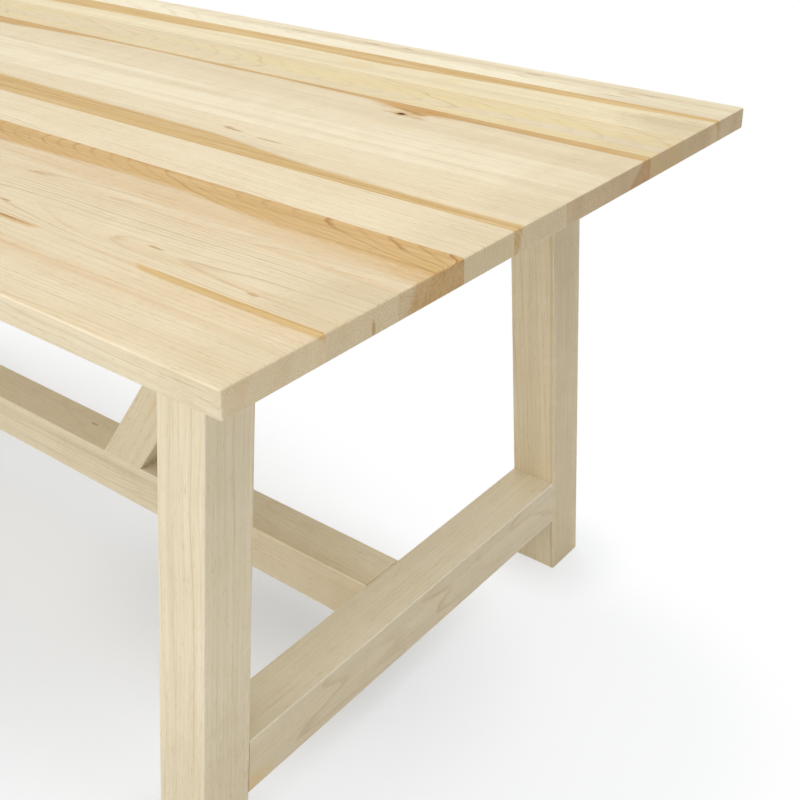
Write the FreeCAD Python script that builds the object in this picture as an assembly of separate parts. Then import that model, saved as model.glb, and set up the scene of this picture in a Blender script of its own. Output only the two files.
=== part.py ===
import FreeCAD, Part
import math
import os

# A farmhouse dining table in solid maple: a plank top on two A-frame trestles, which are tied
# together by one long stretcher and two diagonal braces.
# Sizes are in millimetres. X runs along the table, Y from its front to its rear and Z up, and the
# origin is on the floor under the middle of the top.

# Overall
HEIGHT = 762.0
LENGTH = 2000.0

# Top: boards glued edge to edge, front to rear, then eased all round as one panel
BOARD_WIDTHS = (125.0, 102.0, 104.0, 90.0, 105.0, 100.0, 98.0, 94.0, 102.0, 80.0)
TOP_THICKNESS = 30.0
TOP_EDGE_RADIUS = 3.0

# Base: legs, rails, stretchers and braces are all cut from one square stock
STOCK = 72.0
ARRIS_RADIUS = 2.0
END_OVERHANG = 172.0
LEG_TOP_SPREAD = 710.0
LEG_FOOT_SPREAD = 834.0
FOOT_CHAMFER = 2.0
STRETCHER_RISE = 96.0

# Blind tenons of rails and stretchers, and the room that their mortises leave for glue
TENON_THICKNESS = 24.0
TENON_SHOULDER = 12.0
TENON_LENGTH = 45.0
MORTISE_SIDE_GAP = 0.15
MORTISE_END_GAP = 2.0

# Braces: where the foot stands on the long stretcher, and the stub tenons at both ends
BRACE_FOOT_X = 252.0
STUB_LENGTH = 15.0
STUB_SHOULDER = 15.0

# Battens under the top, one at each brace head
BATTEN_LENGTH = 800.0
BATTEN_THICKNESS = 40.0
BATTEN_MARGIN = 6.0
BATTEN_END_CHAMFER = 22.0
BATTEN_SET_IN = 139.0

# Hexagon-headed wood screws, which hold the rails and battens to the top
SCREW_DIAMETER = 8.0
HEX_ACROSS_FLATS = 13.0
HEX_HEAD_HEIGHT = 5.5
SCREW_BITE = 20.0
RAIL_SCREW_SPACING = 200.0
BATTEN_SCREWS = 4
BATTEN_SCREW_MARGIN = 70.0

# Holes for the screws, with slots that let the boards swell and shrink
PILOT_GAP = 0.1
PILOT_END_GAP = 1.0
PASS_GAP = 0.5
SLOT_TRAVEL = 8.0
COUNTERBORE_DIAMETER = 22.0
COUNTERBORE_DEPTH = 38.0

# Places that follow from the sizes above
TOP_WIDTH = sum(BOARD_WIDTHS)
UNDERSIDE = HEIGHT - TOP_THICKNESS
TRESTLE_OUTER = LENGTH / 2 - END_OVERHANG
TRESTLE_INNER = TRESTLE_OUTER - STOCK
TRESTLE_MIDDLE = TRESTLE_OUTER - STOCK / 2
RAIL_BOTTOM = UNDERSIDE - STOCK
RAIL_SEAT = RAIL_BOTTOM + COUNTERBORE_DEPTH
STRETCHER_TOP = STRETCHER_RISE + STOCK
STRETCHER_MIDDLE = STRETCHER_RISE + STOCK / 2
LEG_LEAN = (LEG_FOOT_SPREAD - LEG_TOP_SPREAD) / 2 / UNDERSIDE
LEG_LEVEL_WIDTH = STOCK * math.hypot(1, LEG_LEAN)
BATTEN_BOTTOM = UNDERSIDE - BATTEN_THICKNESS
BATTEN_X = TRESTLE_INNER - BATTEN_SET_IN
BRACE_LEAN = (BATTEN_X - BRACE_FOOT_X) / (BATTEN_BOTTOM - STRETCHER_TOP)
BRACE_LEVEL_WIDTH = STOCK * math.hypot(1, BRACE_LEAN)
PASS_DIAMETER = SCREW_DIAMETER + 2 * PASS_GAP

ALONG_X = FreeCAD.Vector(1, 0, 0)
ALONG_Y = FreeCAD.Vector(0, 1, 0)
UP = FreeCAD.Vector(0, 0, 1)


def centred(middle, size):
    """The low and high limit of a span about its middle."""
    return middle - size / 2, middle + size / 2


def box(x_span, y_span, z_span):
    """A block between low and high limits."""
    lengths = [high - low for low, high in (x_span, y_span, z_span)]
    return Part.makeBox(*lengths, FreeCAD.Vector(x_span[0], y_span[0], z_span[0]))


def rod(diameter, x, y, z_span):
    """An upright round bar."""
    return Part.makeCylinder(diameter / 2, z_span[1] - z_span[0], FreeCAD.Vector(x, y, z_span[0]))


def slot(width, x, y, z_span):
    """An upright cutter with round ends, longer along Y than its width by the slots' travel."""
    y_span = centred(y, SLOT_TRAVEL)
    near, far = (rod(width, x, end, z_span) for end in y_span)
    return near.fuse([far, box(centred(x, width), y_span, z_span)]).removeSplitter()


def extruded(corners, sweep):
    """A prism from the corners of its end face and its sweep vector."""
    return Part.Face(Part.makePolygon(corners + corners[:1])).extrude(sweep)


def prism_along_x(outline, x_span):
    """A prism from an outline of (y, z) corners."""
    corners = [FreeCAD.Vector(x_span[0], y, z) for y, z in outline]
    return extruded(corners, ALONG_X * (x_span[1] - x_span[0]))


def prism_along_y(outline, y_span):
    """A prism from an outline of (x, z) corners."""
    corners = [FreeCAD.Vector(x, y_span[0], z) for x, z in outline]
    return extruded(corners, ALONG_Y * (y_span[1] - y_span[0]))


def eased(shape, direction, radius):
    """The shape with every straight edge along a direction rounded."""
    axis = FreeCAD.Vector(direction).normalize()
    edges = [e for e in shape.Edges if e.tangentAt(e.FirstParameter).cross(axis).Length < 1e-6]
    return shape.makeFillet(radius, edges)


def mirrored(shape):
    """The left end's copy of a shape at the right end."""
    return shape.mirror(FreeCAD.Vector(), ALONG_X)


def both_ends(shapes):
    """The right end's shapes and their mirror images at the left end."""
    return shapes + [mirrored(shape) for shape in shapes]


# Trestles, worked out at the right end


def leg_inside(z):
    """How far a leg's inner face is from the centreline at a height."""
    return LEG_FOOT_SPREAD / 2 - LEG_LEAN * z - LEG_LEVEL_WIDTH


def cross_outline(half_width, low, high):
    """Corners of a cross member's outline, whose half width depends on the height."""
    return [
        (-half_width(low), low),
        (half_width(low), low),
        (half_width(high), high),
        (-half_width(high), high),
    ]


def cross_tenons(low, side_gap=0.0, end_gap=0.0):
    """A bar whose ends are both tenons of a cross member, or with gaps the mortises for them."""
    outline = cross_outline(
        lambda z: leg_inside(z) + TENON_LENGTH + end_gap,
        low + TENON_SHOULDER - side_gap,
        low + STOCK - TENON_SHOULDER + side_gap,
    )
    return prism_along_x(outline, centred(TRESTLE_MIDDLE, TENON_THICKNESS + 2 * side_gap))


def make_leg(side):
    """A splayed leg with its two mortises; side is -1 at the front and 1 at the rear."""
    outline = [
        (side * leg_inside(0), 0),
        (side * (leg_inside(0) + LEG_LEVEL_WIDTH), 0),
        (side * (leg_inside(UNDERSIDE) + LEG_LEVEL_WIDTH), UNDERSIDE),
        (side * leg_inside(UNDERSIDE), UNDERSIDE),
    ]
    leg = prism_along_x(outline, (TRESTLE_INNER, TRESTLE_OUTER))
    leg = leg.makeChamfer(FOOT_CHAMFER, [e for e in leg.Edges if e.BoundBox.ZMax < FOOT_CHAMFER])
    leg = eased(leg, (0, -side * LEG_LEAN, 1), ARRIS_RADIUS)
    mortises = [cross_tenons(low, MORTISE_SIDE_GAP, MORTISE_END_GAP) for low in (STRETCHER_RISE, RAIL_BOTTOM)]
    return leg.cut(mortises)


def make_cross_member(low):
    """A level member between the legs, with shoulders cut to their splay and a tenon at each end."""
    outline = cross_outline(leg_inside, low, low + STOCK)
    member = eased(prism_along_x(outline, (TRESTLE_INNER, TRESTLE_OUTER)), ALONG_Y, ARRIS_RADIUS)
    return member.fuse(cross_tenons(low)).removeSplitter()


def rail_screw_places():
    """Y of each screw in a top rail."""
    return -RAIL_SCREW_SPACING, 0.0, RAIL_SCREW_SPACING


def make_top_rail():
    """The top rail: counterbored from below, with a round hole in the middle and slots beside it."""
    whole = (RAIL_BOTTOM, UNDERSIDE)
    cutters = []
    for y in rail_screw_places():
        hole = slot if y else rod
        cutters.append(hole(COUNTERBORE_DIAMETER, TRESTLE_MIDDLE, y, (RAIL_BOTTOM, RAIL_SEAT)))
        cutters.append(hole(PASS_DIAMETER, TRESTLE_MIDDLE, y, whole))
    return make_cross_member(RAIL_BOTTOM).cut(cutters)


def make_cross_stretcher():
    """The cross stretcher, mortised on its inner face for the long stretcher."""
    return make_cross_member(STRETCHER_RISE).cut(long_tenons(MORTISE_SIDE_GAP, MORTISE_END_GAP))


# Long stretcher, braces and battens


def long_tenons(side_gap=0.0, end_gap=0.0):
    """A bar whose ends are both tenons of the long stretcher, or with gaps the mortises for them."""
    reach = TRESTLE_INNER + TENON_LENGTH + end_gap
    return box(
        centred(0, 2 * reach),
        centred(0, STOCK - 2 * TENON_SHOULDER + 2 * side_gap),
        centred(STRETCHER_MIDDLE, TENON_THICKNESS + 2 * side_gap),
    )


def foot_stub(side_gap=0.0, end_gap=0.0):
    """The stub tenon under the right brace, along the stretcher's grain, or with gaps its mortise."""
    return box(
        centred(BRACE_FOOT_X, BRACE_LEVEL_WIDTH - 2 * STUB_SHOULDER + 2 * side_gap),
        centred(0, TENON_THICKNESS + 2 * side_gap),
        (STRETCHER_TOP - STUB_LENGTH - end_gap, STRETCHER_TOP),
    )


def head_stub(side_gap=0.0, end_gap=0.0):
    """The stub tenon on the right brace's head, along the batten's grain, or with gaps its mortise."""
    return box(
        centred(BATTEN_X, TENON_THICKNESS + 2 * side_gap),
        centred(0, STOCK - 2 * STUB_SHOULDER + 2 * side_gap),
        (BATTEN_BOTTOM, BATTEN_BOTTOM + STUB_LENGTH + end_gap),
    )


def make_long_stretcher():
    """The long stretcher between the trestles, mortised on top for the feet of the braces."""
    bar = box(centred(0, 2 * TRESTLE_INNER), centred(0, STOCK), (STRETCHER_RISE, STRETCHER_TOP))
    bar = eased(bar, ALONG_X, ARRIS_RADIUS).fuse(long_tenons()).removeSplitter()
    return bar.cut(both_ends([foot_stub(MORTISE_SIDE_GAP, MORTISE_END_GAP)]))


def make_brace():
    """The right brace, cut level at both ends, with a stub tenon at each."""
    half = BRACE_LEVEL_WIDTH / 2
    outline = [
        (BRACE_FOOT_X - half, STRETCHER_TOP),
        (BRACE_FOOT_X + half, STRETCHER_TOP),
        (BATTEN_X + half, BATTEN_BOTTOM),
        (BATTEN_X - half, BATTEN_BOTTOM),
    ]
    brace = eased(prism_along_y(outline, centred(0, STOCK)), (BRACE_LEAN, 0, 1), ARRIS_RADIUS)
    return brace.fuse([foot_stub(), head_stub()]).removeSplitter()


def batten_screw_places():
    """Y of each screw in a batten, evenly spread between its ends' margins."""
    reach = BATTEN_LENGTH / 2 - BATTEN_SCREW_MARGIN
    return [-reach + 2 * reach * i / (BATTEN_SCREWS - 1) for i in range(BATTEN_SCREWS)]


def make_batten():
    """The right batten, with chamfered ends, slotted for its screws and mortised for the brace."""
    half = BATTEN_LENGTH / 2
    outline = [
        (-half, UNDERSIDE),
        (-half, BATTEN_BOTTOM + BATTEN_END_CHAMFER),
        (-half + BATTEN_END_CHAMFER, BATTEN_BOTTOM),
        (half - BATTEN_END_CHAMFER, BATTEN_BOTTOM),
        (half, BATTEN_BOTTOM + BATTEN_END_CHAMFER),
        (half, UNDERSIDE),
    ]
    batten = prism_along_x(outline, centred(BATTEN_X, BRACE_LEVEL_WIDTH + 2 * BATTEN_MARGIN))
    whole = (BATTEN_BOTTOM, UNDERSIDE)
    cutters = [slot(PASS_DIAMETER, BATTEN_X, y, whole) for y in batten_screw_places()]
    cutters.append(head_stub(MORTISE_SIDE_GAP, MORTISE_END_GAP))
    return eased(batten, ALONG_Y, ARRIS_RADIUS).cut(cutters)


# Top


def pilot_hole(x, y):
    """A cutter for the hole that a screw bites into."""
    return rod(SCREW_DIAMETER + 2 * PILOT_GAP, x, y, (UNDERSIDE, UNDERSIDE + SCREW_BITE + PILOT_END_GAP))


def make_top_panel():
    """The glued-up top, eased on every outer edge and bored from below for the screws."""
    panel = box(centred(0, LENGTH), centred(0, TOP_WIDTH), (UNDERSIDE, HEIGHT))
    panel = panel.makeFillet(TOP_EDGE_RADIUS, panel.Edges)
    holes = [pilot_hole(TRESTLE_MIDDLE, y) for y in rail_screw_places()]
    holes += [pilot_hole(BATTEN_X, y) for y in batten_screw_places()]
    return panel.cut(both_ends(holes))


def make_boards():
    """The boards of the top, front to rear."""
    panel = make_top_panel()
    boards = []
    front = -TOP_WIDTH / 2
    for width in BOARD_WIDTHS:
        boards.append(panel.common(box(centred(0, LENGTH), (front, front + width), (UNDERSIDE, HEIGHT))))
        front += width
    return boards


# Screws


def make_screw(x, y, seat):
    """A screw without its thread, driven upwards through a piece that it holds at its seat."""
    reach = HEX_ACROSS_FLATS / math.sqrt(3)
    turns = [math.radians(60 * i) for i in range(6)]
    bottom = seat - HEX_HEAD_HEIGHT
    corners = [FreeCAD.Vector(x + reach * math.cos(t), y + reach * math.sin(t), bottom) for t in turns]
    shank = rod(SCREW_DIAMETER, x, y, (seat, UNDERSIDE + SCREW_BITE))
    return extruded(corners, UP * HEX_HEAD_HEIGHT).fuse(shank).removeSplitter()


def make_parts():
    """Every piece of the table by its name."""
    parts = {f"top_board_{i:02d}": board for i, board in enumerate(make_boards(), 1)}
    paired = {
        "leg_front": make_leg(-1),
        "leg_rear": make_leg(1),
        "top_rail": make_top_rail(),
        "cross_stretcher": make_cross_stretcher(),
        "brace": make_brace(),
        "batten": make_batten(),
    }
    for name, shape in paired.items():
        parts[name + "_right"] = shape
        parts[name + "_left"] = mirrored(shape)
    parts["long_stretcher"] = make_long_stretcher()
    rail_screws = [make_screw(TRESTLE_MIDDLE, y, RAIL_SEAT) for y in rail_screw_places()]
    batten_screws = [make_screw(BATTEN_X, y, BATTEN_BOTTOM) for y in batten_screw_places()]
    parts["rail_screws"] = Part.makeCompound(both_ends(rail_screws))
    parts["batten_screws"] = Part.makeCompound(both_ends(batten_screws))
    return parts


os.makedirs("parts", exist_ok=True)
for node, solid in make_parts().items():
    solid.exportStep(f"parts/{node}.step")
    print(node, len(solid.Solids), "valid" if solid.isValid() else "not valid", round(solid.Volume / 1000, 2), "cm3")
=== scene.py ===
import math
from dataclasses import dataclass

import bpy
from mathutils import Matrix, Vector


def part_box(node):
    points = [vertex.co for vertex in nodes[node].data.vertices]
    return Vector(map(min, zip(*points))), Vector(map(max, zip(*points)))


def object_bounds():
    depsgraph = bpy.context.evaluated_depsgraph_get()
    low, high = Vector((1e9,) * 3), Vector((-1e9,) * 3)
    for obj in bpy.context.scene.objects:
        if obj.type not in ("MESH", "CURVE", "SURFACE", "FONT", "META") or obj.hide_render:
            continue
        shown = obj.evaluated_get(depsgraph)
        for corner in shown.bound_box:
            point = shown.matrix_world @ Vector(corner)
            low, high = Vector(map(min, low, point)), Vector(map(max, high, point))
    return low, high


# A maple farmhouse table in a white studio. Places are in metres in the table's own frame: X along
# the table, Y from its front to its rear and Z up, with the floor at zero. Inside the wood materials,
# u runs along a piece's grain, v across it and w through it, in millimetres from the piece's middle.

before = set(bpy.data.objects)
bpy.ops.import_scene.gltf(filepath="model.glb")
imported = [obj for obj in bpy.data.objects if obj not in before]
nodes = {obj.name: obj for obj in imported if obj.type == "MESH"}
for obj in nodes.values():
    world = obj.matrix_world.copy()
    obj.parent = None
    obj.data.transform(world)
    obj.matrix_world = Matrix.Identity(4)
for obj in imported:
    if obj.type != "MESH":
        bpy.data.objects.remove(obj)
cad_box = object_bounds()


def seen(red, green, blue):
    """A colour as a screen shows it, in linear light."""
    shares = [c / 255 for c in (red, green, blue)]
    return tuple(s / 12.92 if s <= 0.04045 else ((s + 0.055) / 1.055) ** 2.4 for s in shares) + (1.0,)


# Colours of the top's wood, and a painted shade for its right end
CREAM = seen(230, 213, 179)
BLUSH = seen(223, 197, 156)
SAPWOOD = seen(245, 232, 201)
MILK = seen(252, 241, 211)
BUTTER = seen(246, 231, 192)
IVORY = seen(237, 221, 187)
STRAW = seen(235, 215, 166)
PAINTED_END_SHADE = seen(214, 195, 158)
HEARTWOOD = seen(213, 176, 115)
HONEY = seen(215, 181, 119)
GOLDEN = seen(226, 193, 131)
TAN = seen(221, 189, 138)
EMBER = seen(207, 159, 92)
AMBER = seen(178, 138, 72)
RING_BROWN = seen(176, 132, 66)
HEART_LINE = seen(168, 118, 58)
KNOT_BROWN = seen(72, 34, 0)

# Colours of the base's wood; the shade one also paints shade on some pieces, and the last two are a painted
# shade for faces turned from the light and a painted light for the stretchers' tops
BASE_CREAM = seen(237, 222, 190)
BASE_MIDDLE = seen(229, 213, 180)
BASE_SHADE = seen(222, 205, 172)
BASE_PAINTED_SHADE = seen(214, 193, 154)
BASE_PAINTED_LIGHT = seen(229, 219, 195)

# Tints of sawn ends, which multiply the wood's own colour: the pale one is end grain's own, and the darker
# two add painted shade to the ends of boards farther back
SAWN_PALE = seen(253, 250, 245)
SAWN_PAINTED_HALF_SHADE = seen(238, 231, 220)
SAWN_PAINTED_SHADE = seen(224, 209, 190)

# Colours of the screws and the floor, and plain white
ZINC_DULL = seen(172, 176, 182)
ZINC_BRIGHT = seen(214, 214, 208)
FLOOR_COLOUR = (0.86, 0.905, 0.97, 1.0)
WHITE = (1.0, 1.0, 1.0, 1.0)

# How rough the wood of the top and of the base is, and how far it shines, which knots don't
TOP_ROUGHNESS = 0.42
BASE_ROUGHNESS = 0.46
WOOD_GLOSS = 0.25


@dataclass(frozen=True)
class Noise:
    """A noise: its features' lengths on u, v and w, what it adds to the seed, and its detail.

    Where it sways about zero, it goes about as far as its reach. Where it makes patches, they start and are
    fullest at its limits.
    """

    lengths: tuple
    seed: float
    detail: float = 2.0
    reach: float = 0.0
    limits: tuple = (0.0, 1.0)


# How growth rings wander across a piece, lift, tremble, crowd together and fade
RING_WANDER = Noise((420.0, 80.0, 80.0), 0.0, reach=8.0)
RING_LIFT = Noise((560.0, 80.0, 80.0), 11.0, reach=3.2)
RING_TREMOR = Noise((90.0, 12.0, 12.0), 5.0, reach=0.35)
RING_CROWDING = Noise((40.0, 40.0, 40.0), 2.0, detail=0.0, reach=0.5)
RING_FADING = Noise((120.0, 12.0, 12.0), 8.0, limits=(0.3, 0.65))

# How the tone of the wood varies
WARM_STRETCHES = Noise((900.0, 26.0, 26.0), 21.0, detail=3.0)
BAND_EDGE = Noise((140.0, 14.0, 14.0), 40.0, reach=2.0)
BAND_MOTTLE = Noise((260.0, 6.0, 6.0), 50.0, detail=4.0)
MARK_EDGE = Noise((14.0, 3.0, 3.0), 15.0, reach=0.25)
FIBRES = Noise((160.0, 2.4, 2.4), 60.0, detail=4.0, reach=0.058)
FIGURE = Noise((34.0, 60.0, 60.0), 70.0, detail=1.0, reach=0.018)
STRONG_FIGURE = Noise((34.0, 60.0, 60.0), 70.0, detail=1.0, reach=0.03)
BLOTCHES = Noise((240.0, 40.0, 40.0), 80.0, reach=0.02)
FLECKS = Noise((13.0, 1.2, 1.2), 90.0, detail=1.0, limits=(0.6, 0.74))
STREAKS = Noise((90.0, 2.0, 2.0), 95.0, detail=1.0, limits=(0.66, 0.82))
PORES = Noise((30.0, 0.8, 0.8), 33.0, detail=1.0, limits=(0.35, 0.7))

# The mottle of zinc plating, and its rubs
ZINC_MOTTLE = Noise((2.0, 2.0, 2.0), 4.0, detail=3.0)
ZINC_RUBS = Noise((0.4, 0.4, 6.0), 9.0, limits=(0.3, 0.7))


@dataclass
class Cut:
    """How a piece lies in its log: the heart on v and w, its drift along a metre, and a ring's width."""

    heart: tuple
    drift: tuple
    ring: float


@dataclass
class Band:
    """Heartwood along one edge of a board: its width on the top at places along the board, in millimetres.

    It loses lean millimetres of width for each millimetre of depth. Its rings are the board's own unless it
    has a cut.
    """

    far_edge: bool
    widths: dict
    colour: tuple = HEARTWOOD
    lean: float = 0.3
    softness: float = 4.0
    cut: Cut = None


@dataclass
class Mark:
    """A knot, stain or fleck, or a patch of painted light or shade: its middle, its reach along u, v and w,
    and how far it bends the rings.
    """

    middle: tuple
    reach: tuple
    colour: tuple
    strength: float
    bends: float = 0.0


@dataclass
class Wood:
    """What a piece of wood shows: its cut, its tones, its heartwood and marks, and the tint of its ends; some
    tones, marks and end tints are painted light or shade.
    """

    cut: Cut
    ring_mark: float = 0.5
    pale: tuple = CREAM
    warm: tuple = BLUSH
    warmth: float = 0.0
    figure: Noise = FIGURE
    band: Band = None
    marks: tuple = ()
    ends: tuple = SAWN_PALE


# Where marks lie, in millimetres from a piece's middle: on the top's upper face, at its right end, and on the
# faces of the base's stock
TOP_FACE = 15.0
RIGHT_END = 1000.0
BASE_FACE = 36.0

# How deep marks go into the top, in millimetres
FLECK_DEPTH = 8.0
STAIN_DEPTH = 40.0
PAINTED_END_SHADE_DEPTH = 60.0

# The reach of the painted light and shade that cover one face of a piece of the base and stop at its edges
WHOLE_FACE = (4000.0, 90.0, 4.5)


def fleck(u, v, along, across, colour=RING_BROWN, strength=0.6):
    """A short line in the top's surface, with its reach along and across the board."""
    return Mark((u, v, TOP_FACE), (along, across, FLECK_DEPTH), colour, strength)


def stain(u, v, along, across, colour, strength, bends=0.0):
    """A tone deep into a board, with its reach along and across it."""
    return Mark((u, v, TOP_FACE), (along, across, STAIN_DEPTH), colour, strength, bends)


def painted_shade_at_end(strength, along=110.0, middle=0.0, across=200.0):
    """Painted shade at the right end of a board, where less light reaches, about a middle across it."""
    return Mark((RIGHT_END, middle, TOP_FACE), (along, across, PAINTED_END_SHADE_DEPTH), PAINTED_END_SHADE, strength)


def painted_face_shading(side, colour, strength):
    """Painted light or shade over one face of a piece of the base: where w is at its most, or for side -1 at
    its least.
    """
    return Mark((0.0, 0.0, side * BASE_FACE), WHOLE_FACE, colour, strength)


BOARDS = {
    "top_board_01": Wood(
        Cut((120.0, -160.0), (18.0, 8.0), 4.0),
        ring_mark=0.4,
        warmth=-0.1,
        band=Band(
            True,
            {
                -1000: -6, -300: -6, 100: 3, 430: 4, 480: 6, 590: 5, 620: -5,
                740: -5, 775: 9, 850: 11, 960: 13, 1000: 11,
            },
            colour=HONEY,
            lean=1.2,
        ),
        marks=(
            Mark((640.0, -62.5, -4.0), (5.0, 2.0, 2.5), KNOT_BROWN, 0.6),
            fleck(540.0, 61.0, 52.0, 3.0, HEART_LINE, 0.7),
            Mark((900.0, 38.0, TOP_FACE), (190.0, 16.0, 20.0), BLUSH, 0.6),
            painted_shade_at_end(0.35, middle=-20.0, across=80.0),
        ),
    ),
    "top_board_02": Wood(
        Cut((-14.0, -48.0), (6.0, 25.0), 3.7),
        ring_mark=0.8,
        marks=(
            fleck(741.0, -14.0, 14.0, 2.6, strength=0.7),
            fleck(897.0, -34.0, 10.0, 3.0),
            fleck(505.0, -24.0, 12.0, 2.0, strength=0.7),
            painted_shade_at_end(0.6),
            Mark((RIGHT_END, 14.0, -6.0), (30.0, 3.4, 11.0), AMBER, 0.8),
        ),
    ),
    "top_board_03": Wood(
        Cut((-46.0, -96.0), (-14.0, 30.0), 3.8),
        ring_mark=0.7,
        warmth=0.3,
        band=Band(
            True,
            {-1000: 62, -400: 70, 0: 52, 400: 47, 600: 39, 700: 45, 800: 57, 1000: 75},
            lean=-0.5,
            softness=7.0,
            cut=Cut((50.0, -130.0), (0.0, 92.0), 3.4),
        ),
        marks=(Mark((720.0, -14.0, TOP_FACE), (420.0, 22.0, 30.0), BLUSH, 0.8),),
        ends=SAWN_PAINTED_HALF_SHADE,
    ),
    "top_board_04": Wood(
        Cut((-190.0, 30.0), (-70.0, 0.0), 4.6),
        ring_mark=0.7,
        pale=SAPWOOD,
        warm=IVORY,
        warmth=1.0,
        marks=(painted_shade_at_end(0.35),),
        ends=SAWN_PAINTED_HALF_SHADE,
    ),
    "top_board_05": Wood(
        Cut((-150.0, -60.0), (20.0, 10.0), 5.5),
        pale=IVORY,
        warm=CREAM,
        band=Band(
            False,
            {-1000: 64, 0: 55, 400: 46, 500: 44, 600: 33, 700: 23, 800: 20, 1000: 17},
            colour=HONEY,
            softness=5.0,
        ),
        marks=(
            fleck(505.0, 22.0, 14.0, 2.6, strength=0.7),
            fleck(520.0, 18.0, 22.0, 2.4, strength=0.8),
            fleck(588.0, 12.0, 26.0, 2.2, strength=0.7),
            painted_shade_at_end(0.4, middle=14.0, across=60.0),
        ),
        ends=SAWN_PAINTED_HALF_SHADE,
    ),
    "top_board_06": Wood(
        Cut((220.0, 20.0), (-12.0, 0.0), 6.0),
        ring_mark=0.35,
        pale=SAPWOOD,
        warm=CREAM,
        figure=STRONG_FIGURE,
        marks=(painted_shade_at_end(0.25),),
        ends=SAWN_PAINTED_SHADE,
    ),
    "top_board_07": Wood(
        Cut((150.0, -60.0), (-10.0, 8.0), 5.0),
        ring_mark=0.35,
        pale=IVORY,
        warm=CREAM,
        warmth=0.3,
        figure=STRONG_FIGURE,
        band=Band(
            True,
            {
                -1000: 30, -350: 35, -100: 16, 0: 10, 333: 8, 520: 11, 580: 14, 616: 20,
                642: 25, 664: 34, 682: 25, 705: 19, 770: 17, 1000: 20,
            },
            lean=-1.2,
        ),
        marks=(
            stain(650.0, 36.0, 85.0, 20.0, EMBER, 0.7),
            stain(652.0, 11.0, 36.0, 14.0, TAN, 0.8, bends=6.0),
            stain(634.0, 27.0, 18.0, 3.4, HEART_LINE, 0.5),
            stain(652.0, 23.0, 18.0, 3.4, HEART_LINE, 0.6),
            stain(668.0, 19.0, 16.0, 3.6, HEART_LINE, 0.6),
            stain(630.0, 5.0, 18.0, 2.4, RING_BROWN, 0.6),
            stain(675.0, 3.5, 22.0, 2.4, RING_BROWN, 0.6),
            stain(647.0, 7.0, 13.0, 7.5, HEART_LINE, 0.6),
            stain(646.5, 7.0, 7.0, 5.0, KNOT_BROWN, 1.0),
            painted_shade_at_end(0.3, middle=-12.0, across=54.0),
        ),
        ends=SAWN_PAINTED_SHADE,
    ),
    "top_board_08": Wood(
        Cut((-8.0, -100.0), (3.0, -66.0), 3.6),
        ring_mark=0.36,
        warm=STRAW,
        warmth=0.45,
        marks=(painted_shade_at_end(0.3),),
        ends=SAWN_PAINTED_SHADE,
    ),
    "top_board_09": Wood(
        Cut((150.0, -40.0), (12.0, 10.0), 5.5),
        pale=BUTTER,
        warm=CREAM,
        band=Band(
            True,
            {-1000: 52, 0: 43, 167: 36, 333: 34, 461: 40, 500: 37, 667: 29, 833: 22, 1000: 14},
            colour=GOLDEN,
            lean=0.8,
        ),
        marks=(
            stain(400.0, 17.0, 150.0, 7.0, HEARTWOOD, 0.6),
            stain(610.0, 34.0, 120.0, 10.0, HEARTWOOD, 0.7),
            stain(850.0, 49.0, 280.0, 7.0, HEARTWOOD, 0.7),
            stain(430.0, -20.0, 44.0, 26.0, STRAW, 0.6),
            stain(592.0, -18.0, 34.0, 26.0, STRAW, 0.5),
            stain(950.0, 0.0, 90.0, 22.0, BLUSH, 0.7),
            painted_shade_at_end(0.6, along=130.0, middle=-14.0, across=60.0),
        ),
        ends=SAWN_PAINTED_SHADE,
    ),
    "top_board_10": Wood(
        Cut((10.0, -100.0), (-6.0, 50.0), 4.0),
        ring_mark=0.4,
        pale=MILK,
        warm=CREAM,
        marks=(
            fleck(196.0, 13.0, 24.0, 2.4),
            fleck(358.0, 15.0, 26.0, 2.6),
            fleck(427.0, 22.0, 16.0, 2.8),
            fleck(676.0, 12.0, 20.0, 2.8),
            fleck(829.0, -20.0, 18.0, 2.4),
            fleck(874.0, 10.0, 22.0, 2.4),
            painted_shade_at_end(0.35, along=280.0),
        ),
        ends=SAWN_PAINTED_SHADE,
    ),
}

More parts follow.
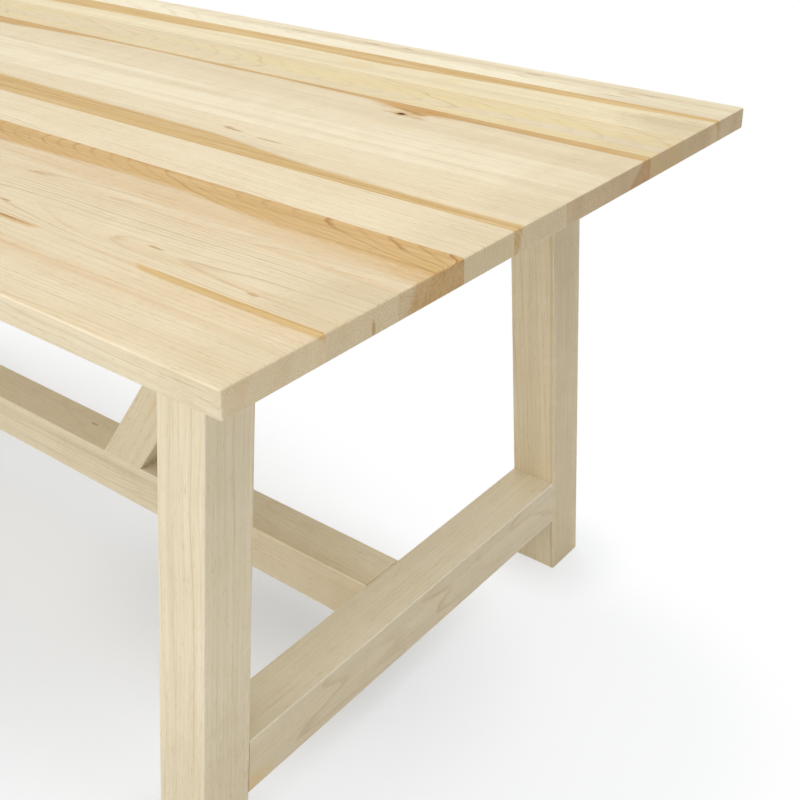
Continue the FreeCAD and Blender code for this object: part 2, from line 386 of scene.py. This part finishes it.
MEMBERS = {
    "leg_front": Wood(
        Cut((110.0, -160.0), (12.0, 20.0), 8.0),
        ring_mark=0.36,
        pale=BASE_CREAM,
        warm=BASE_SHADE,
        marks=(
            # Painted shade: darker towards the foot, and on the face turned from the light
            Mark((-340.0, 0.0, 0.0), (300.0, 90.0, 90.0), BASE_SHADE, 0.6),
            painted_face_shading(-1, BASE_PAINTED_SHADE, 0.2),
        ),
    ),
    # The rear leg's tone, darker than the front leg's, is painted shade where less light reaches; the face
    # turned from the light has stronger painted shade
    "leg_rear": Wood(
        Cut((-130.0, 130.0), (-16.0, 14.0), 7.5),
        ring_mark=0.36,
        pale=BASE_MIDDLE,
        warm=BASE_SHADE,
        marks=(painted_face_shading(-1, BASE_PAINTED_SHADE, 0.8),),
    ),
    "top_rail": Wood(
        Cut((40.0, -120.0), (8.0, 26.0), 7.0),
        ring_mark=0.25,
        pale=BASE_CREAM,
        warm=BASE_SHADE,
    ),
    # Its darker tone is partly its wood and partly painted shade on the faces turned from the light; its top
    # face has painted light
    "cross_stretcher": Wood(
        Cut((-120.0, 14.0), (44.0, -8.0), 5.5),
        ring_mark=0.3,
        pale=BASE_SHADE,
        warm=BASE_MIDDLE,
        marks=(
            painted_face_shading(1, BASE_PAINTED_LIGHT, 0.9),
            Mark((-340.0, -BASE_FACE, -26.0), (46.0, 12.0, 16.0), GOLDEN, 0.6),
        ),
    ),
    "brace": Wood(
        Cut((40.0, -130.0), (30.0, 20.0), 6.5),
        ring_mark=0.25,
        pale=BASE_MIDDLE,
        warm=BASE_SHADE,
        marks=(Mark((-150.0, -BASE_FACE, 6.0), (60.0, 10.0, 7.0), GOLDEN, 0.25),),
    ),
    "batten": Wood(
        Cut((60.0, -90.0), (10.0, 22.0), 6.0),
        ring_mark=0.25,
        pale=BASE_CREAM,
        warm=BASE_SHADE,
    ),
    "long_stretcher": Wood(
        Cut((14.0, -66.0), (12.0, 50.0), 5.0),
        ring_mark=0.38,
        pale=BASE_CREAM,
        warm=BASE_SHADE,
        marks=(
            # Painted light on the top face
            painted_face_shading(1, BASE_PAINTED_LIGHT, 0.7),
            Mark((130.0, 8.0, BASE_FACE), (12.0, 2.6, 4.0), HEART_LINE, 0.6),
            # Painted shade on the front face towards the end by the near leg
            Mark((650.0, -BASE_FACE, 0.0), (330.0, 36.0, 60.0), BASE_SHADE, 0.9),
        ),
    ),
}

SCREWS = ("rail_screws", "batten_screws")


class Graph:
    """The shader nodes of a material or the world, put together from sockets and plain values."""

    # How far a step of the seed moves a noise along u, v and w
    SEED_STEPS = (1.0, 1.7, 2.3)

    # What brings noise, most of which lies within a quarter of its middle, out to its reach
    SWAY_GAIN = 4

    # The sockets of a Mix node that blends colours
    MIX_SHARE = 0
    MIX_FIRST = 6
    MIX_SECOND = 7
    MIX_RESULT = 2

    def __init__(self, owner):
        owner.use_nodes = True
        self.tree = owner.node_tree
        self.tree.nodes.clear()

    def node(self, kind, inputs, **settings):
        """A new node with its settings made and its inputs set or linked."""
        made = self.tree.nodes.new(kind)
        for name, value in settings.items():
            setattr(made, name, value)
        for key, value in inputs.items():
            if isinstance(value, bpy.types.NodeSocket):
                self.tree.links.new(value, made.inputs[key])
            else:
                made.inputs[key].default_value = value
        return made

    def math(self, operation, *values):
        """The result of one operation on numbers."""
        return self.node("ShaderNodeMath", dict(enumerate(values)), operation=operation).outputs[0]

    def vector(self, operation, *values):
        """The node of one operation on vectors."""
        return self.node("ShaderNodeVectorMath", dict(enumerate(values)), operation=operation)

    def parts(self, place):
        """The u, v and w of a place."""
        return self.node("ShaderNodeSeparateXYZ", {0: place}).outputs

    def ramp(self, value, start, end, low=0.0, high=1.0):
        """A smooth step from low to high as a value goes from start to end."""
        inputs = {"Value": value, "From Min": start, "From Max": end, "To Min": low, "To Max": high}
        return self.node("ShaderNodeMapRange", inputs, interpolation_type="SMOOTHSTEP").outputs[0]

    def noise(self, place, kind, seed=0.0):
        """Noise from 0 to 1."""
        scale = tuple(1 / length for length in kind.lengths)
        shift = tuple(step * (seed + kind.seed) for step in self.SEED_STEPS)
        moved = self.vector("MULTIPLY_ADD", place, scale, shift).outputs[0]
        inputs = {"Vector": moved, "Scale": 1.0, "Detail": kind.detail}
        return self.node("ShaderNodeTexNoise", inputs).outputs[0]

    def sway(self, place, kind, seed):
        """Noise about zero that goes about as far as its reach."""
        centred = self.math("SUBTRACT", self.noise(place, kind, seed), 0.5)
        return self.math("MULTIPLY", centred, self.SWAY_GAIN * kind.reach)

    def patches(self, place, kind, seed, low=0.0):
        """Patches of a noise, from low outside them to 1 within."""
        return self.ramp(self.noise(place, kind, seed), *kind.limits, low)

    def blend(self, share, first, second, kind="MIX"):
        """One colour over another."""
        inputs = {self.MIX_SHARE: share, self.MIX_FIRST: first, self.MIX_SECOND: second}
        made = self.node("ShaderNodeMix", inputs, data_type="RGBA", blend_type=kind)
        return made.outputs[self.MIX_RESULT]

    def curve(self, value, points, limits):
        """A smooth curve through points whose x and y lie inside the limits of each."""
        (x_low, x_high), (y_low, y_high) = limits
        inputs = {"Value": value, "From Min": x_low, "From Max": x_high}
        share = self.node("ShaderNodeMapRange", inputs).outputs[0]
        made = self.node("ShaderNodeFloatCurve", {"Value": share})
        line = made.mapping.curves[0].points
        spots = [((x - x_low) / (x_high - x_low), (y - y_low) / (y_high - y_low)) for x, y in points]
        line[0].location = spots[0]
        line[1].location = spots[-1]
        for spot in spots[1:-1]:
            line.new(*spot)
        made.mapping.update()
        return self.math("MULTIPLY_ADD", made.outputs[0], y_high - y_low, y_low)

    def apart(self, place, middle, reach):
        """How far a place is from a middle: 1 where it is a whole reach away."""
        offset = self.vector("SUBTRACT", place, middle).outputs[0]
        return self.vector("LENGTH", self.vector("DIVIDE", offset, reach).outputs[0]).outputs["Value"]

    def shown(self):
        """1 on rays that come straight from the camera."""
        return self.node("ShaderNodeLightPath", {}).outputs["Is Camera Ray"]

    def bump(self, height, strength, distance):
        """A normal that follows a height."""
        inputs = {"Height": height, "Strength": strength, "Distance": distance}
        return self.node("ShaderNodeBump", inputs).outputs[0]

    def finish(self, kind, inputs, output="ShaderNodeOutputMaterial"):
        """The shader that the output shows."""
        self.node(output, {"Surface": self.node(kind, inputs).outputs[0]})


# How much of a piece's length counts as its end
END_SHARE = 0.02


def grain_direction(piece):
    """The direction from one end's middle to the other's, along a piece's longest side."""
    points = [v.co for v in piece.data.vertices]
    low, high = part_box(piece.name)
    size = high - low
    axis = max(range(3), key=lambda i: size[i])
    edge = END_SHARE * size[axis]
    first = [p for p in points if p[axis] < low[axis] + edge]
    last = [p for p in points if p[axis] > high[axis] - edge]
    return (sum(last, Vector()) / len(last) - sum(first, Vector()) / len(first)).normalized()


# Metres in a millimetre, and millimetres in a metre and in half a metre
MILLIMETRE = 0.001
METRE = 1000.0
HALF_METRE = 500


def grain_place(graph, piece, turn):
    """Places along u, v and w from a piece's middle, where a turn takes X to its grain."""
    low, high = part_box(piece.name)
    inputs = {
        "Vector": graph.node("ShaderNodeTexCoord", {}).outputs["Object"],
        "Location": (low + high) / 2,
        "Rotation": turn.to_euler(),
        "Scale": (MILLIMETRE, MILLIMETRE, MILLIMETRE),
    }
    return graph.node("ShaderNodeMapping", inputs, vector_type="TEXTURE").outputs[0]


# Where in a ring its late wood begins, and where it is darkest
LATE_START = 0.66
LATE_DARKEST = 0.94

# How dark the faintest ring is, how much darker the others go, and how far a line fades along its length
RING_LEAST = 0.25
RING_RANGE = 0.8
RING_FAINT = 0.35

# How many of its reaches away a knot stops bending the rings
BEND_END = 5.0


def ring_lines(graph, cut, place, marks, seed):
    """Lines of late wood, which follow the heart's drift, bend round knots, and fade in and out."""
    u, v, w = graph.parts(place)
    bent_v = graph.math("ADD", v, graph.sway(place, RING_WANDER, seed))
    bent_w = graph.math("ADD", w, graph.sway(place, RING_LIFT, seed))
    to_heart = [
        graph.math("SUBTRACT", graph.math("MULTIPLY_ADD", u, -cut.drift[i] / METRE, bent), cut.heart[i])
        for i, bent in enumerate((bent_v, bent_w))
    ]
    flat = graph.node("ShaderNodeCombineXYZ", {0: to_heart[0], 1: to_heart[1]}).outputs[0]
    radius = graph.vector("LENGTH", flat).outputs["Value"]
    radius = graph.math("ADD", radius, graph.sway(place, RING_TREMOR, seed))
    for mark, away in marks:
        if mark.bends:
            radius = graph.math("ADD", radius, graph.ramp(away, 0.0, BEND_END, mark.bends, 0.0))
    count = graph.math("DIVIDE", radius, cut.ring)
    count = graph.math("ADD", count, graph.sway(flat, RING_CROWDING, seed))
    along = graph.math("FRACT", count)
    darkening = graph.ramp(along, LATE_START, LATE_DARKEST)
    late = graph.math("MULTIPLY", darkening, graph.ramp(along, LATE_DARKEST, 1.0, 1.0, 0.0))
    number = {"W": graph.math("FLOOR", count)}
    chance = graph.node("ShaderNodeTexWhiteNoise", number, noise_dimensions="1D").outputs["Value"]
    strength = graph.math("MULTIPLY_ADD", graph.math("POWER", chance, 2.0), RING_RANGE, RING_LEAST)
    faded = graph.patches(place, RING_FADING, seed, RING_FAINT)
    return graph.math("MULTIPLY", graph.math("MULTIPLY", late, faded), strength)


# Where in their noise the warm stretches begin and are fullest, and how far a wood's warmth moves both
WARM_START = 0.42
WARM_FULL = 0.78
WARMTH_STEP = 0.3


def sapwood(graph, wood, place, line, seed):
    """Pale and warm stretches, with the lines of the rings."""
    drifting = graph.noise(place, WARM_STRETCHES, seed)
    step = WARMTH_STEP * wood.warmth
    colour = graph.blend(graph.ramp(drifting, WARM_START - step, WARM_FULL - step), wood.pale, wood.warm)
    return graph.blend(graph.math("MULTIPLY", line, wood.ring_mark), colour, RING_BROWN)


# Limits of a band's curve, along the board and of its width, and what rings of its own add to the seed
BAND_LIMITS = ((-RIGHT_END, RIGHT_END), (-20.0, 100.0))
BAND_RINGS = 45.0


def band_share(graph, band, place, half, seed):
    """How far a place lies in a band, from its width along the board and the depth below the top."""
    u, v, w = graph.parts(place)
    width = graph.curve(u, list(band.widths.items()), BAND_LIMITS)
    side = 1.0 if band.far_edge else -1.0
    from_edge = graph.math("MULTIPLY_ADD", v, -side, half.y)
    depth = graph.math("SUBTRACT", half.z, w)
    reach = graph.math("MULTIPLY_ADD", depth, -band.lean, width)
    wavy = graph.math("ADD", reach, graph.sway(place, BAND_EDGE, seed))
    inside = graph.math("SUBTRACT", wavy, from_edge)
    return graph.ramp(inside, -band.softness, band.softness)


def band_tone(graph, wood, place, line, seed):
    """Heartwood with paler and darker mottles, and the lines of its rings."""
    mottle = graph.noise(place, BAND_MOTTLE, seed)
    paler = graph.ramp(mottle, 0.5, 0.75, 0.0, 0.45)
    darker = graph.ramp(mottle, 0.25, 0.5, 0.4, 0.0)
    tone = graph.blend(paler, wood.band.colour, wood.warm)
    tone = graph.blend(darker, tone, HEART_LINE)
    if wood.band.cut:
        line = ring_lines(graph, wood.band.cut, place, (), seed + BAND_RINGS)
    return graph.blend(line, tone, HEART_LINE)


# Shares of a mark's reach where it is still at its full strength, and where it ends
MARK_CORE = 0.4
MARK_RIM = 1.1


def add_marks(graph, colour, marks, place, seed):
    """A colour with ragged marks over it, some of them painted light or shade, and the gloss, which knots
    take away.
    """
    gloss = WOOD_GLOSS
    for mark, away in marks:
        ragged = graph.math("ADD", away, graph.sway(place, MARK_EDGE, seed))
        share = graph.ramp(ragged, MARK_CORE, MARK_RIM, mark.strength, 0.0)
        colour = graph.blend(share, colour, mark.colour)
        if mark.colour == KNOT_BROWN:
            gloss = graph.math("MULTIPLY", gloss, graph.math("SUBTRACT", 1.0, share))
    return colour, gloss


# What flecks and streaks add to the brightness, how bright the painted highlight on an eased arris is next to
# 1 for a plain face, and how squarely arrises and plain faces stand to one of the directions u, v and w
FLECK_TONE = -0.13
STREAK_TONE = -0.15
ARRIS_PAINTED_HIGHLIGHT = 1.12
SQUARE_LIMITS = (0.8, 0.98)


def brightness(graph, wood, place, square, seed):
    """How light the wood is, about 1: fibres, figure, blotches, flecks, streaks and a painted highlight on
    eased arrises.
    """
    fibres = graph.sway(place, FIBRES, seed)
    figure = graph.sway(place, wood.figure, seed)
    bright = graph.math("ADD", graph.math("ADD", fibres, figure), graph.sway(place, BLOTCHES, seed))
    bright = graph.math("MULTIPLY_ADD", graph.patches(place, FLECKS, seed), FLECK_TONE, bright)
    bright = graph.math("MULTIPLY_ADD", graph.patches(place, STREAKS, seed), STREAK_TONE, bright)
    squarest = graph.math("MAXIMUM", graph.math("MAXIMUM", square[0], square[1]), square[2])
    return graph.math("ADD", bright, graph.ramp(squarest, *SQUARE_LIMITS, ARRIS_PAINTED_HIGHLIGHT, 1.0))


# How strongly red, green and blue follow the brightness: what is darker is also warmer
TINT_POWERS = (0.9, 1.15, 1.7)


def tinted(graph, colour, bright):
    """A colour made lighter or darker by the wood's brightness."""
    shares = {i: graph.math("POWER", bright, power) for i, power in enumerate(TINT_POWERS)}
    tint = graph.node("ShaderNodeCombineColor", shares).outputs[0]
    return graph.blend(1.0, colour, tint, "MULTIPLY")


# How warm end grain is, how dark its pores are, and how squarely a face that shows it stands to u
END_WARMTH = 0.15
PORE_SHADE = 0.87
END_LIMITS = (0.55, 0.9)


def add_end_grain(graph, colour, wood, place, facing_end, seed):
    """A colour with the sawn ends a little darker than the faces, with fine pores, and with painted shade
    where the end tint carries it.
    """
    pore_tint = tuple(PORE_SHADE * share for share in wood.ends[:3]) + (1.0,)
    ends = graph.blend(graph.patches(place, PORES, seed), wood.ends, pore_tint)
    sawn = graph.blend(1.0, graph.blend(END_WARMTH, colour, wood.warm), ends, "MULTIPLY")
    return graph.blend(graph.ramp(facing_end, *END_LIMITS), colour, sawn)


# The grain's height: how deep the rings lie in it, its lows and highs, how much rougher or smoother these
# are than the rest, and its bump
RING_GROOVE = 0.06
HEIGHT_LIMITS = (0.88, 1.08)
LOW_ROUGHER = 0.10
HIGH_SMOOTHER = 0.05
GRAIN_BUMP = 0.25
GRAIN_DEPTH = 0.0015

# What makes a seed from a piece's name, and the range of the seeds
SEED_STEP = 7.3
SEED_RANGE = 97


def maple(piece, wood, roughness):
    """Solid maple: growth rings round the log's heart, fibres, flecks, heartwood, knots and end grain."""
    material = bpy.data.materials.new(piece.name)
    graph = Graph(material)
    seed = SEED_STEP * sum(map(ord, piece.name)) % SEED_RANGE
    turn = Vector((1, 0, 0)).rotation_difference(grain_direction(piece))
    place = grain_place(graph, piece, turn)
    marks = [(mark, graph.apart(place, mark.middle, mark.reach)) for mark in wood.marks]
    line = ring_lines(graph, wood.cut, place, marks, seed)

    colour = sapwood(graph, wood, place, line, seed)
    if wood.band:
        low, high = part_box(piece.name)
        half = (high - low) * HALF_METRE
        share = band_share(graph, wood.band, place, half, seed)
        colour = graph.blend(share, colour, band_tone(graph, wood, place, line, seed))
    colour, gloss = add_marks(graph, colour, marks, place, seed)

    normal = graph.node("ShaderNodeNewGeometry", {}).outputs["Normal"]
    axes = [turn @ Vector(axis) for axis in ((1, 0, 0), (0, 1, 0), (0, 0, 1))]
    facing = [graph.vector("DOT_PRODUCT", normal, axis).outputs["Value"] for axis in axes]
    square = [graph.math("ABSOLUTE", share) for share in facing]
    bright = brightness(graph, wood, place, square, seed)
    colour = add_end_grain(graph, tinted(graph, colour, bright), wood, place, square[0], seed)

    height = graph.math("SUBTRACT", bright, graph.math("MULTIPLY", line, RING_GROOVE))
    rough = graph.ramp(height, *HEIGHT_LIMITS, roughness + LOW_ROUGHER, roughness - HIGH_SMOOTHER)
    graph.finish(
        "ShaderNodeBsdfPrincipled",
        {
            "Base Color": colour,
            "Roughness": rough,
            "Normal": graph.bump(height, GRAIN_BUMP, GRAIN_DEPTH),
            "Specular IOR Level": gloss,
            "Coat Weight": 0.04,
            "Coat Roughness": 0.3,
        },
    )
    return material


def zinc_steel():
    """Bright zinc plating with a fine mottle and a few rubs."""
    material = bpy.data.materials.new("zinc_steel")
    graph = Graph(material)
    spot = graph.node("ShaderNodeTexCoord", {}).outputs["Object"]
    place = graph.node("ShaderNodeVectorMath", {0: spot, "Scale": METRE}, operation="SCALE").outputs[0]
    rubs = graph.noise(place, ZINC_RUBS)
    graph.finish(
        "ShaderNodeBsdfPrincipled",
        {
            "Base Color": graph.blend(graph.noise(place, ZINC_MOTTLE), ZINC_DULL, ZINC_BRIGHT),
            "Metallic": 1.0,
            "Roughness": graph.ramp(rubs, *ZINC_RUBS.limits, 0.28, 0.5),
            "Normal": graph.bump(rubs, 0.2, 0.0003),
        },
    )
    return material


def dress(piece, material):
    """Gives a CAD piece its material."""
    piece.data.materials.clear()
    piece.data.materials.append(material)


def dress_table():
    """A material of its own for every board and member, and one for the screws."""
    for name, wood in BOARDS.items():
        dress(nodes[name], maple(nodes[name], wood, TOP_ROUGHNESS))
    for stem, wood in MEMBERS.items():
        for name in [n for n in nodes if n.startswith(stem) and n not in SCREWS]:
            dress(nodes[name], maple(nodes[name], wood, BASE_ROUGHNESS))
    steel = zinc_steel()
    for name in SCREWS:
        dress(nodes[name], steel)


def make_world(ambient):
    """White to look at, and a soft even light on the table."""
    world = bpy.data.worlds.new("studio")
    bpy.context.scene.world = world
    graph = Graph(world)
    strength = graph.ramp(graph.shown(), 0.0, 1.0, ambient, 1.0)
    graph.finish("ShaderNodeBackground", {"Color": WHITE, "Strength": strength}, "ShaderNodeOutputWorld")


@dataclass
class FloorPaintedShadow:
    """A painted shadow on the floor, a place that stays darker, at both ends and on both sides of the table.

    Its core is the share of its reach that is darkest, and its lightness is how light that is.
    """

    middle: tuple
    reach: tuple
    core: float
    lightness: float


# Painted shadows on the floor under the stretchers' joints, before the ends and at the feet, where less of
# the white glow shows
PAINTED_FLOOR_SHADOWS = (
    FloorPaintedShadow((0.58, 0.0, 0.0), (0.45, 0.3, 1.0), 0.0, 0.3),
    FloorPaintedShadow((0.97, 0.1, 0.0), (0.38, 0.35, 1.0), 0.5, 0.74),
    FloorPaintedShadow((0.792, 0.381, 0.0), (0.16, 0.14, 1.0), 0.3, 0.6),
)


def make_floor(size, middle, near, whiteness):
    """A floor that keeps the table's soft shadow, and goes over to plain white away from the middle of it.

    It starts to go white at near, and is white at three times near, as shares of half the table's size. It
    has painted shadows, where it stays darker, at the floor's painted shadow places.
    """
    bpy.ops.mesh.primitive_plane_add(size=size)
    floor = bpy.context.object
    floor.name = "floor"
    material = bpy.data.materials.new("floor")
    graph = Graph(material)
    low, high = cad_box
    half = (high - low) / 2
    spot = graph.node("ShaderNodeTexCoord", {}).outputs["Object"]
    away = graph.apart(spot, middle, half)
    from_middle = graph.vector("ABSOLUTE", spot).outputs[0]
    white = graph.math("MULTIPLY", graph.ramp(away, near, 3 * near, whiteness, 1.0), graph.shown())
    for shade in PAINTED_FLOOR_SHADOWS:
        from_shade = graph.apart(from_middle, shade.middle, shade.reach)
        white = graph.math("MULTIPLY", white, graph.ramp(from_shade, shade.core, 1.0, shade.lightness))
    matte = graph.node("ShaderNodeBsdfDiffuse", {"Color": FLOOR_COLOUR}).outputs[0]
    glow = graph.node("ShaderNodeEmission", {"Color": WHITE, "Strength": 1.0}).outputs[0]
    graph.finish("ShaderNodeMixShader", {0: white, 1: matte, 2: glow})
    floor.data.materials.append(material)


def make_skylight(toward, strength, spread):
    """A wide soft light from above, from the direction that it is given; its spread is an angle."""
    light = bpy.data.lights.new("skylight", "SUN")
    light.energy = strength
    light.angle = spread
    lamp = bpy.data.objects.new("skylight", light)
    lamp.rotation_euler = Vector(toward).to_track_quat("Z", "Y").to_euler()
    bpy.context.scene.collection.objects.link(lamp)


def make_softbox(name, place, target, size, power):
    """A square soft lamp that faces a target."""
    light = bpy.data.lights.new(name, "AREA")
    light.size = size
    light.energy = power
    lamp = bpy.data.objects.new(name, light)
    lamp.location = place
    lamp.rotation_euler = (Vector(target) - Vector(place)).to_track_quat("-Z", "Y").to_euler()
    bpy.context.scene.collection.objects.link(lamp)


# The camera: where it stands, how far it looks down and turns from +Y, and its lens for a square frame
CAMERA_PLACE = (1.62744, -1.07132, 1.23553)
CAMERA_DOWN = 0.3793
CAMERA_TURN = 0.6651
CAMERA_LENS = 54.81
CAMERA_SENSOR = 36.0
CAMERA_SHIFT = -0.22


def make_camera():
    """The photograph's view."""
    data = bpy.data.cameras.new("camera")
    data.lens = CAMERA_LENS
    data.sensor_width = CAMERA_SENSOR
    data.shift_y = CAMERA_SHIFT
    camera = bpy.data.objects.new("camera", data)
    camera.location = CAMERA_PLACE
    camera.rotation_euler = (math.pi / 2 - CAMERA_DOWN, 0.0, CAMERA_TURN)
    bpy.context.scene.collection.objects.link(camera)
    bpy.context.scene.camera = camera


dress_table()
make_world(ambient=0.40)
make_floor(size=30.0, middle=(-0.2, -0.2, 0.0), near=0.48, whiteness=0.5)
make_skylight(toward=(-0.15, 0.15, 1.0), strength=0.85, spread=1.3)
make_softbox("front", place=(-1.6, -3.0, 1.6), target=(0.3, 0.0, 0.4), size=3.0, power=45.0)
make_softbox("near", place=(2.0, -3.0, 1.8), target=(0.8, -0.3, 0.5), size=2.8, power=21.0)
make_softbox("right", place=(2.6, -0.3, 3.8), target=(0.9, -0.2, 0.4), size=1.5, power=30.0)
make_softbox("left", place=(-0.9, 1.2, 3.0), target=(-0.3, 0.3, 0.7), size=1.8, power=14.5)
make_camera()
bpy.context.scene.view_settings.view_transform = "Standard"
